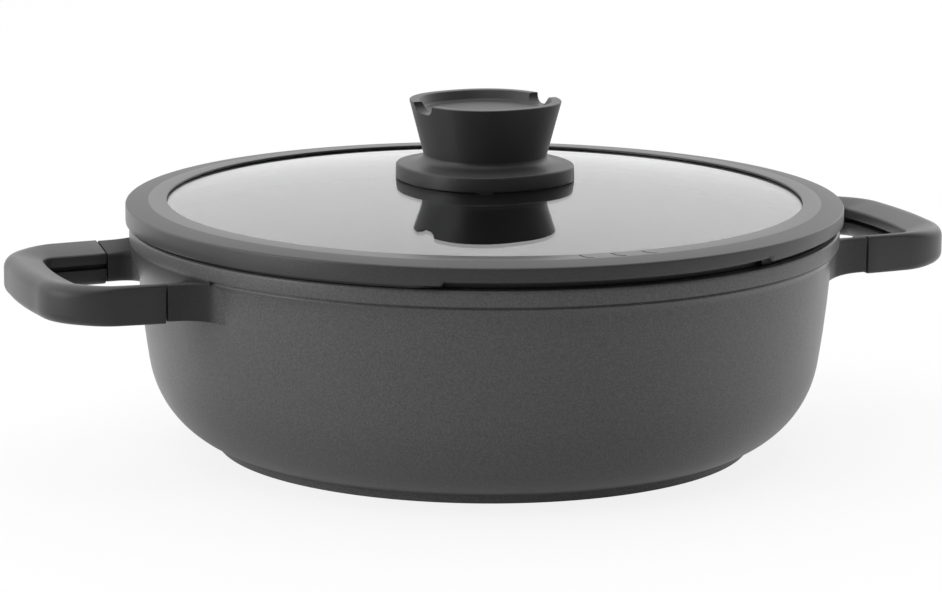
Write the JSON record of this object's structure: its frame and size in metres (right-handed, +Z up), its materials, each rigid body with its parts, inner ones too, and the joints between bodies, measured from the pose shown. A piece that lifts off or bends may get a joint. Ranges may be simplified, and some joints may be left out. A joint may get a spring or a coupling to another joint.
{
  "type": "deep saute pan with lid",
  "caption": "Deep round saute pan with loop handles in rubber grips, a domed glass lid with a vented rubber rim and a rubber knob with a spoon rest.",
  "frame": {"origin": "middle of the base's underside, on the plane the pan stands on", "axes": "+X along the line of the two handles, +Z up out of the pan; the lid's vent faces -Y"},
  "size_m": [0.3962, 0.2946, 0.1423],
  "materials": {
    "cast_coated": "cast aluminium under a dark satin non-stick coating with a fine speckle",
    "base_steel": "bare steel, turned flat with the foot ring",
    "grip_rubber": "matt dark grey silicone rubber",
    "lid_glass": "clear tempered glass, polished",
    "rim_rubber": "matt grey silicone rubber",
    "knob_rubber": "matt dark grey silicone rubber",
    "core_plastic": "black moulded phenolic",
    "insert_brass": "turned brass",
    "seal_rubber": "translucent silicone rubber",
    "bushing_plastic": "white nylon",
    "hardware_steel": "plain stainless steel"
  },
  "bodies": {
    "pan": {"pan_body": "cast_coated", "induction_base_disc": "base_steel", "left_handle_grip": "grip_rubber", "right_handle_grip": "grip_rubber"},
    "lid": {"lid_glass": "lid_glass", "lid_rim": "rim_rubber", "knob_grip": "knob_rubber", "knob_core": "core_plastic", "knob_insert": "insert_brass", "knob_gasket": "seal_rubber", "glass_bushing": "bushing_plastic", "knob_washer": "hardware_steel", "knob_screw": "hardware_steel"}
  },
  "joints": [
    {"name": "lid_lift", "type": "slide", "parent": "pan", "child": "lid", "axis": [0, 0, 1], "range_m": [0, 0.15]}
  ]
}
